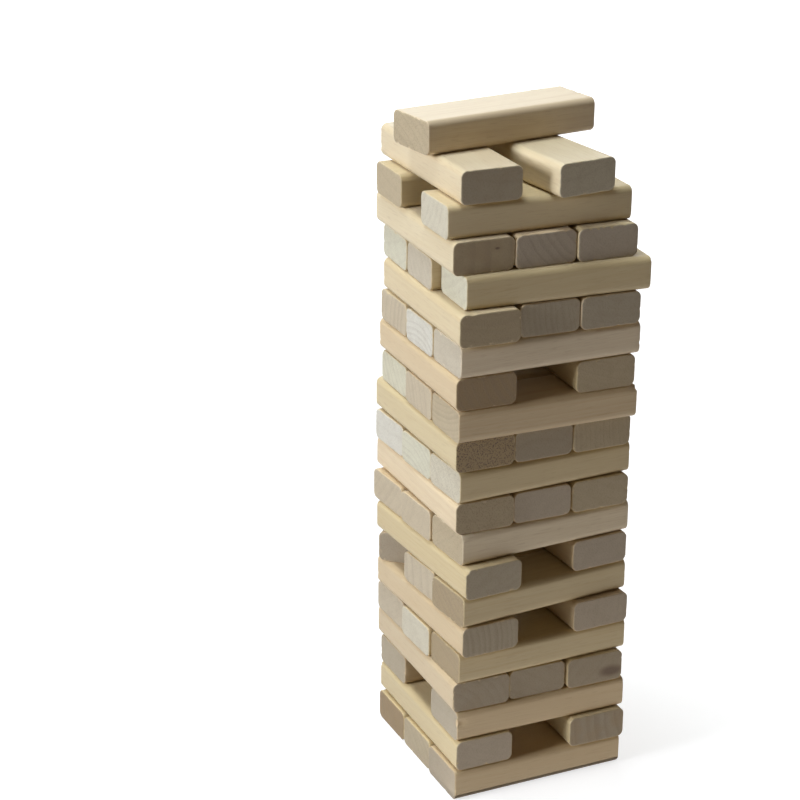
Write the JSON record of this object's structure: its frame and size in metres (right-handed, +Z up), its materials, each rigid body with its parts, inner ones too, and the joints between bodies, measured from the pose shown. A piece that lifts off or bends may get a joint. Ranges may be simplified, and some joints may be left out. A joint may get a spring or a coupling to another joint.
{
  "type": "tumbling tower",
  "caption": "Hand-stacked tumbling tower of loose wooden blocks in mid-game, with gaps where blocks were drawn, a block swung half out and played blocks on top.",
  "frame": {"origin": "centre of the bottom course's underside, on the table", "axes": "+Z up the tower; X along the blocks of odd courses, Y along the blocks of even courses"},
  "size_m": [0.0639, 0.0969, 0.21],
  "materials": {
    "pine_cream": "planed and tumbled smooth, unvarnished",
    "pine_honey": "planed and tumbled smooth, unvarnished",
    "pine_rose": "planed and tumbled smooth, unvarnished"
  },
  "bodies": {
    "course_01_back": {"course_01_back": "pine_honey"},
    "course_01_front": {"course_01_front": "pine_rose"},
    "course_01_middle": {"course_01_middle": "pine_honey"},
    "course_02_left": {"course_02_left": "pine_honey"},
    "course_02_right": {"course_02_right": "pine_honey"},
    "course_03_back": {"course_03_back": "pine_rose"},
    "course_03_front": {"course_03_front": "pine_rose"},
    "course_04_left": {"course_04_left": "pine_rose"},
    "course_04_middle": {"course_04_middle": "pine_cream"},
    "course_04_right": {"course_04_right": "pine_cream"},
    "course_05_back": {"course_05_back": "pine_rose"},
    "course_05_front": {"course_05_front": "pine_honey"},
    "course_05_middle": {"course_05_middle": "pine_cream"},
    "course_06_left": {"course_06_left": "pine_rose"},
    "course_06_right": {"course_06_right": "pine_rose"},
    "course_07_back": {"course_07_back": "pine_rose"},
    "course_07_front": {"course_07_front": "pine_honey"},
    "course_07_middle": {"course_07_middle": "pine_cream"},
    "course_08_left": {"course_08_left": "pine_honey"},
    "course_08_right": {"course_08_right": "pine_rose"},
    "course_09_back": {"course_09_back": "pine_rose"},
    "course_09_front": {"course_09_front": "pine_honey"},
    "course_09_middle": {"course_09_middle": "pine_rose"},
    "course_10_left": {"course_10_left": "pine_rose"},
    "course_10_middle": {"course_10_middle": "pine_rose"},
    "course_10_right": {"course_10_right": "pine_honey"},
    "course_11_back": {"course_11_back": "pine_cream"},
    "course_11_front": {"course_11_front": "pine_honey"},
    "course_11_middle": {"course_11_middle": "pine_cream"},
    "course_12_left": {"course_12_left": "pine_honey"},
    "course_12_middle": {"course_12_middle": "pine_rose"},
    "course_12_right": {"course_12_right": "pine_cream"},
    "course_13_back": {"course_13_back": "pine_cream"},
    "course_13_front": {"course_13_front": "pine_rose"},
    "course_13_middle": {"course_13_middle": "pine_rose"},
    "course_14_left": {"course_14_left": "pine_rose"},
    "course_14_right": {"course_14_right": "pine_honey"},
    "course_15_back": {"course_15_back": "pine_cream"},
    "course_15_front": {"course_15_front": "pine_rose"},
    "course_15_middle": {"course_15_middle": "pine_cream"},
    "course_16_left": {"course_16_left": "pine_honey"},
    "course_16_middle": {"course_16_middle": "pine_rose"},
    "course_16_right": {"course_16_right": "pine_rose"},
    "course_17_back": {"course_17_back": "pine_cream"},
    "course_17_front": {"course_17_front": "pine_honey"},
    "course_17_middle": {"course_17_middle": "pine_cream"},
    "course_18_left": {"course_18_left": "pine_honey"},
    "course_18_middle": {"course_18_middle": "pine_rose"},
    "course_18_right": {"course_18_right": "pine_honey"},
    "course_19_back": {"course_19_back": "pine_honey"},
    "course_19_front": {"course_19_front": "pine_cream"},
    "course_20_left": {"course_20_left": "pine_cream"},
    "course_20_right": {"course_20_right": "pine_honey"},
    "course_21_top": {"course_21_top": "pine_rose"}
  },
  "joints": [
    {"name": "course_01_back_slide", "type": "slide", "parent": "course_01_middle", "child": "course_01_back", "axis": [1, 0.0087, 0], "range_m": [-0.062, 0.062]},
    {"name": "course_01_front_slide", "type": "slide", "parent": "course_01_middle", "child": "course_01_front", "axis": [1, 0.0087, 0], "range_m": [-0.062, 0.062]},
    {"name": "course_02_left_slide", "type": "slide", "parent": "course_01_middle", "child": "course_02_left", "axis": [0, 1, 0], "range_m": [-0.062, 0.062]},
    {"name": "course_02_right_slide", "type": "slide", "parent": "course_01_middle", "child": "course_02_right", "axis": [0, 1, 0], "range_m": [-0.062, 0.062]},
    {"name": "course_03_back_slide", "type": "slide", "parent": "course_01_middle", "child": "course_03_back", "axis": [1, 0, 0], "range_m": [-0.062, 0.062]},
    {"name": "course_03_front_slide", "type": "slide", "parent": "course_01_middle", "child": "course_03_front", "axis": [1, 0, 0], "range_m": [-0.062, 0.062]},
    {"name": "course_04_left_slide", "type": "slide", "parent": "course_01_middle", "child": "course_04_left", "axis": [0.0087, 1, 0], "range_m": [-0.062, 0.062]},
    {"name": "course_04_middle_slide", "type": "slide", "parent": "course_01_middle", "child": "course_04_middle", "axis": [0.0087, 1, 0], "range_m": [-0.062, 0.062]},
    {"name": "course_04_right_slide", "type": "slide", "parent": "course_01_middle", "child": "course_04_right", "axis": [0.0087, 1, 0], "range_m": [-0.062, 0.062]},
    {"name": "course_05_back_slide", "type": "slide", "parent": "course_01_middle", "child": "course_05_back", "axis": [0.9997, 0.0262, 0], "range_m": [-0.062, 0.062]},
    {"name": "course_05_front_slide", "type": "slide", "parent": "course_01_middle", "child": "course_05_front", "axis": [0.9997, 0.0262, 0], "range_m": [-0.062, 0.062]},
    {"name": "course_05_middle_slide", "type": "slide", "parent": "course_01_middle", "child": "course_05_middle", "axis": [0.9997, 0.0262, 0], "range_m": [-0.062, 0.062]},
    {"name": "course_06_left_slide", "type": "slide", "parent": "course_01_middle", "child": "course_06_left", "axis": [-0.0436, 0.999, 0], "range_m": [-0.062, 0.062]},
    {"name": "course_06_right_slide", "type": "slide", "parent": "course_01_middle", "child": "course_06_right", "axis": [-0.0436, 0.999, 0], "range_m": [-0.062, 0.062]},
    {"name": "course_07_back_swing", "type": "hinge", "parent": "course_01_middle", "child": "course_07_back", "pos_m": [-0.01856, 0.00975, 0.065], "axis": [0, 0, 1], "range_deg": [-38, 40]},
    {"name": "course_07_front_slide", "type": "slide", "parent": "course_01_middle", "child": "course_07_front", "axis": [0.9962, 0.0872, 0], "range_m": [-0.062, 0.062]},
    {"name": "course_07_middle_slide", "type": "slide", "parent": "course_01_middle", "child": "course_07_middle", "axis": [0.9962, 0.0872, 0], "range_m": [-0.062, 0.062]},
    {"name": "course_08_left_slide", "type": "slide", "parent": "course_01_middle", "child": "course_08_left", "axis": [-0.0611, 0.9981, 0], "range_m": [-0.062, 0.062]},
    {"name": "course_08_right_slide", "type": "slide", "parent": "course_01_middle", "child": "course_08_right", "axis": [-0.0611, 0.9981, 0], "range_m": [-0.062, 0.062]},
    {"name": "course_09_back_slide", "type": "slide", "parent": "course_01_middle", "child": "course_09_back", "axis": [0.9981, 0.0611, 0], "range_m": [-0.062, 0.062]},
    {"name": "course_09_front_slide", "type": "slide", "parent": "course_01_middle", "child": "course_09_front", "axis": [0.9981, 0.0611, 0], "range_m": [-0.062, 0.062]},
    {"name": "course_09_middle_slide", "type": "slide", "parent": "course_01_middle", "child": "course_09_middle", "axis": [0.9981, 0.0611, 0], "range_m": [-0.062, 0.062]},
    {"name": "course_10_left_slide", "type": "slide", "parent": "course_01_middle", "child": "course_10_left", "axis": [0, 1, 0], "range_m": [-0.062, 0.062]},
    {"name": "course_10_middle_slide", "type": "slide", "parent": "course_01_middle", "child": "course_10_middle", "axis": [0, 1, 0], "range_m": [-0.062, 0.062]},
    {"name": "course_10_right_slide", "type": "slide", "parent": "course_01_middle", "child": "course_10_right", "axis": [0, 1, 0], "range_m": [-0.062, 0.062]},
    {"name": "course_11_back_slide", "type": "slide", "parent": "course_01_middle", "child": "course_11_back", "axis": [0.9991, 0.0419, 0], "range_m": [-0.062, 0.062]},
    {"name": "course_11_front_slide", "type": "slide", "parent": "course_01_middle", "child": "course_11_front", "axis": [0.9991, 0.0419, 0], "range_m": [-0.062, 0.062]},
    {"name": "course_11_middle_slide", "type": "slide", "parent": "course_01_middle", "child": "course_11_middle", "axis": [0.9991, 0.0419, 0], "range_m": [-0.062, 0.062]},
    {"name": "course_12_left_slide", "type": "slide", "parent": "course_01_middle", "child": "course_12_left", "axis": [0, 1, 0], "range_m": [-0.062, 0.062]},
    {"name": "course_12_middle_slide", "type": "slide", "parent": "course_01_middle", "child": "course_12_middle", "axis": [0, 1, 0], "range_m": [-0.062, 0.062]},
    {"name": "course_12_right_slide", "type": "slide", "parent": "course_01_middle", "child": "course_12_right", "axis": [0, 1, 0], "range_m": [-0.062, 0.062]},
    {"name": "course_13_back_slide", "type": "slide", "parent": "course_01_middle", "child": "course_13_back", "axis": [0.9998, -0.0174, 0], "range_m": [-0.062, 0.062]},
    {"name": "course_13_front_slide", "type": "slide", "parent": "course_01_middle", "child": "course_13_front", "axis": [0.9998, -0.0174, 0], "range_m": [-0.062, 0.062]},
    {"name": "course_13_middle_slide", "type": "slide", "parent": "course_01_middle", "child": "course_13_middle", "axis": [0.9998, -0.0174, 0], "range_m": [-0.062, 0.062]},
    {"name": "course_14_left_slide", "type": "slide", "parent": "course_01_middle", "child": "course_14_left", "axis": [0.0244, 0.9997, 0], "range_m": [-0.062, 0.062]},
    {"name": "course_14_right_slide", "type": "slide", "parent": "course_01_middle", "child": "course_14_right", "axis": [0.0244, 0.9997, 0], "range_m": [-0.062, 0.062]},
    {"name": "course_15_back_slide", "type": "slide", "parent": "course_01_middle", "child": "course_15_back", "axis": [0.9999, -0.0105, 0], "range_m": [-0.062, 0.062]},
    {"name": "course_15_front_slide", "type": "slide", "parent": "course_01_middle", "child": "course_15_front", "axis": [0.9999, -0.0105, 0], "range_m": [-0.062, 0.062]},
    {"name": "course_15_middle_slide", "type": "slide", "parent": "course_01_middle", "child": "course_15_middle", "axis": [0.9999, -0.0105, 0], "range_m": [-0.062, 0.062]},
    {"name": "course_16_left_slide", "type": "slide", "parent": "course_01_middle", "child": "course_16_left", "axis": [0.0349, 0.9994, 0], "range_m": [-0.062, 0.062]},
    {"name": "course_16_middle_slide", "type": "slide", "parent": "course_01_middle", "child": "course_16_middle", "axis": [0.0349, 0.9994, 0], "range_m": [-0.062, 0.062]},
    {"name": "course_16_right_slide", "type": "slide", "parent": "course_01_middle", "child": "course_16_right", "axis": [0.0349, 0.9994, 0], "range_m": [-0.062, 0.062]},
    {"name": "course_17_back_slide", "type": "slide", "parent": "course_01_middle", "child": "course_17_back", "axis": [0.9986, -0.0523, 0], "range_m": [-0.062, 0.062]},
    {"name": "course_17_front_slide", "type": "slide", "parent": "course_01_middle", "child": "course_17_front", "axis": [0.9986, -0.0523, 0], "range_m": [-0.062, 0.062]},
    {"name": "course_17_middle_slide", "type": "slide", "parent": "course_01_middle", "child": "course_17_middle", "axis": [0.9986, -0.0523, 0], "range_m": [-0.062, 0.062]},
    {"name": "course_18_left_slide", "type": "slide", "parent": "course_01_middle", "child": "course_18_left", "axis": [0.0314, 0.9995, 0], "range_m": [-0.062, 0.062]},
    {"name": "course_18_middle_slide", "type": "slide", "parent": "course_01_middle", "child": "course_18_middle", "axis": [0.0314, 0.9995, 0], "range_m": [-0.062, 0.062]},
    {"name": "course_18_right_slide", "type": "slide", "parent": "course_01_middle", "child": "course_18_right", "axis": [0.0314, 0.9995, 0], "range_m": [-0.062, 0.062]},
    {"name": "course_19_back_slide", "type": "slide", "parent": "course_01_middle", "child": "course_19_back", "axis": [0.9997, -0.0262, 0], "range_m": [-0.062, 0.062]},
    {"name": "course_19_front_slide", "type": "slide", "parent": "course_01_middle", "child": "course_19_front", "axis": [0.9997, -0.0262, 0], "range_m": [-0.062, 0.062]},
    {"name": "course_20_left_slide", "type": "slide", "parent": "course_01_middle", "child": "course_20_left", "axis": [0.0174, 0.9998, 0], "range_m": [-0.062, 0.062]},
    {"name": "course_20_right_slide", "type": "slide", "parent": "course_01_middle", "child": "course_20_right", "axis": [-0.1132, 0.9936, 0], "range_m": [-0.062, 0.015]},
    {"name": "course_21_top_lift", "type": "slide", "parent": "course_01_middle", "child": "course_21_top", "axis": [0, 0, 1], "range_m": [0, 0.06]}
  ]
}
